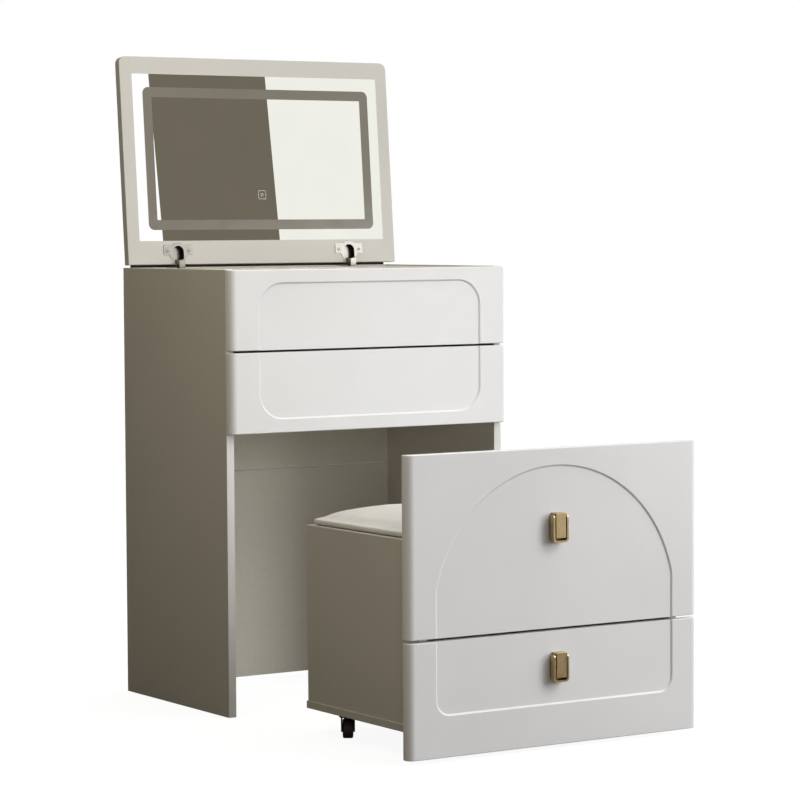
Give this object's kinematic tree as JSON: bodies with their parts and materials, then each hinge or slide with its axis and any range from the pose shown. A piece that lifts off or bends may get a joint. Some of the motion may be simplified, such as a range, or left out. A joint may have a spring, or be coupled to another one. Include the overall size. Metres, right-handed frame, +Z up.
{
  "type": "vanity table with mirror",
  "caption": "Small vanity table with front drawers, a lifting lid with a lit mirror on its inner face, and a wide-fronted drawer stool on casters that rolls underneath.",
  "frame": {"origin": "on the floor, under the middle of the object's box with the lid open and the stool pulled out", "axes": "+Z up, +X to the sitter's right along the table's width, +Y from the stool towards the back of the case"},
  "size_m": [0.592, 1.0173, 1.1968],
  "materials": {
    "front_lacquer": "satin white lacquer on fibreboard",
    "case_board": "matt warm off-white melamine board",
    "top_laminate": "matt warm off-white laminate",
    "back_board": "matt off-white melamine board",
    "lid_lacquer": "satin warm-grey lacquer on fibreboard",
    "drawer_board": "matt melamine board",
    "mirror": "polished silvered glass",
    "frosted_band": "etched, frosted glass",
    "led_tape": "flexible light tape",
    "black_plastic": "moulded, fine grain",
    "caster_tread": "smooth dark tread",
    "nickel": "nickel plated, slightly satin",
    "zinc": "zinc plated steel",
    "brass": "antique brushed brass",
    "seat_cover": "smooth off-white leatherette"
  },
  "bodies": {
    "cabinet": {"side_panel_left": "case_board", "side_panel_right": "case_board", "top_board": "top_laminate", "top_front_rail": "top_laminate", "case_bottom": "back_board", "back_panel_lower": "back_board", "back_panel_upper": "back_board", "case_cam_fittings": "zinc", "upper_drawer_channels": "zinc", "lower_drawer_channels": "zinc", "hinge_arms": "nickel", "hinge_plates": "nickel", "hinge_plate_screws": "nickel"},
    "upper_drawer": {"upper_drawer_front": "front_lacquer", "upper_drawer_side_left": "drawer_board", "upper_drawer_side_right": "drawer_board", "upper_drawer_back": "drawer_board", "upper_drawer_bottom": "drawer_board", "upper_drawer_runner_bars": "zinc"},
    "lower_drawer": {"lower_drawer_front": "front_lacquer", "lower_drawer_side_left": "drawer_board", "lower_drawer_side_right": "drawer_board", "lower_drawer_back": "drawer_board", "lower_drawer_bottom": "drawer_board", "lower_drawer_runner_bars": "zinc"},
    "lid": {"lid_panel": "lid_lacquer", "mirror_glass": "mirror", "light_band": "frosted_band", "led_strip": "led_tape", "touch_sensor": "black_plastic", "power_inlet": "black_plastic", "hinge_cups": "nickel", "hinge_cup_screws": "nickel"},
    "stool": {"stool_side_left": "case_board", "stool_side_right": "case_board", "stool_back": "case_board", "seat_board": "case_board", "stool_base": "case_board", "stool_front": "front_lacquer", "seat_cushion": "seat_cover", "stool_drawer_channels": "zinc", "stool_pull_post": "brass", "caster_plates": "black_plastic"},
    "stool_drawer": {"stool_drawer_front": "front_lacquer", "stool_drawer_side_left": "drawer_board", "stool_drawer_side_right": "drawer_board", "stool_drawer_back": "drawer_board", "stool_drawer_bottom": "drawer_board", "stool_drawer_runner_bars": "zinc", "stool_drawer_pull_post": "brass"},
    "stool_pull": {"stool_pull_loop": "brass"},
    "stool_drawer_pull": {"stool_drawer_pull_loop": "brass"},
    "caster_front_left": {"caster_fork_front_left": "black_plastic"},
    "wheel_front_left": {"caster_wheel_front_left": "caster_tread"},
    "caster_front_right": {"caster_fork_front_right": "black_plastic"},
    "wheel_front_right": {"caster_wheel_front_right": "caster_tread"},
    "caster_rear_left": {"caster_fork_rear_left": "black_plastic"},
    "wheel_rear_left": {"caster_wheel_rear_left": "caster_tread"},
    "caster_rear_right": {"caster_fork_rear_right": "black_plastic"},
    "wheel_rear_right": {"caster_wheel_rear_right": "caster_tread"}
  },
  "joints": [
    {"name": "upper_drawer_slide", "type": "slide", "parent": "cabinet", "child": "upper_drawer", "axis": [0, -1, 0], "range_m": [0, 0.25]},
    {"name": "lower_drawer_slide", "type": "slide", "parent": "cabinet", "child": "lower_drawer", "axis": [0, -1, 0], "range_m": [0, 0.25]},
    {"name": "lid_hinge", "type": "hinge", "parent": "cabinet", "child": "lid", "pos_m": [0, 0.46871, 0.811], "axis": [1, 0, 0], "range_deg": [0, 94.75]},
    {"name": "stool_roll", "type": "slide", "parent": "cabinet", "child": "stool", "axis": [0, 1, 0], "range_m": [0, 0.5727]},
    {"name": "stool_drawer_slide", "type": "slide", "parent": "stool", "child": "stool_drawer", "axis": [0, -1, 0], "range_m": [0, 0.23]},
    {"name": "stool_pull_swing", "type": "hinge", "parent": "stool", "child": "stool_pull", "pos_m": [0, -0.50339, 0.3895], "axis": [-1, 0, 0], "range_deg": [0, 80]},
    {"name": "stool_drawer_pull_swing", "type": "hinge", "parent": "stool_drawer", "child": "stool_drawer_pull", "pos_m": [0, -0.50369, 0.15555], "axis": [-1, 0, 0], "range_deg": [0, 80]},
    {"name": "caster_swivel_front_left", "type": "hinge", "parent": "stool", "child": "caster_front_left", "pos_m": [-0.238, -0.41589, 0.0382], "axis": [0, 0, 1], "continuous": true},
    {"name": "wheel_spin_front_left", "type": "hinge", "parent": "caster_front_left", "child": "wheel_front_left", "pos_m": [-0.23255, -0.4075, 0.017], "axis": [0.8387, -0.5446, 0], "continuous": true},
    {"name": "caster_swivel_front_right", "type": "hinge", "parent": "stool", "child": "caster_front_right", "pos_m": [0.238, -0.41589, 0.0382], "axis": [0, 0, 1], "continuous": true},
    {"name": "wheel_spin_front_right", "type": "hinge", "parent": "caster_front_right", "child": "wheel_front_right", "pos_m": [0.24345, -0.4075, 0.017], "axis": [0.8387, -0.5446, 0], "continuous": true},
    {"name": "caster_swivel_rear_left", "type": "hinge", "parent": "stool", "child": "caster_rear_left", "pos_m": [-0.238, -0.21389, 0.0382], "axis": [0, 0, 1], "continuous": true},
    {"name": "wheel_spin_rear_left", "type": "hinge", "parent": "caster_rear_left", "child": "wheel_rear_left", "pos_m": [-0.23255, -0.2055, 0.017], "axis": [0.8387, -0.5446, 0], "continuous": true},
    {"name": "caster_swivel_rear_right", "type": "hinge", "parent": "stool", "child": "caster_rear_right", "pos_m": [0.238, -0.21389, 0.0382], "axis": [0, 0, 1], "continuous": true},
    {"name": "wheel_spin_rear_right", "type": "hinge", "parent": "caster_rear_right", "child": "wheel_rear_right", "pos_m": [0.24345, -0.2055, 0.017], "axis": [0.8387, -0.5446, 0], "continuous": true}
  ]
}
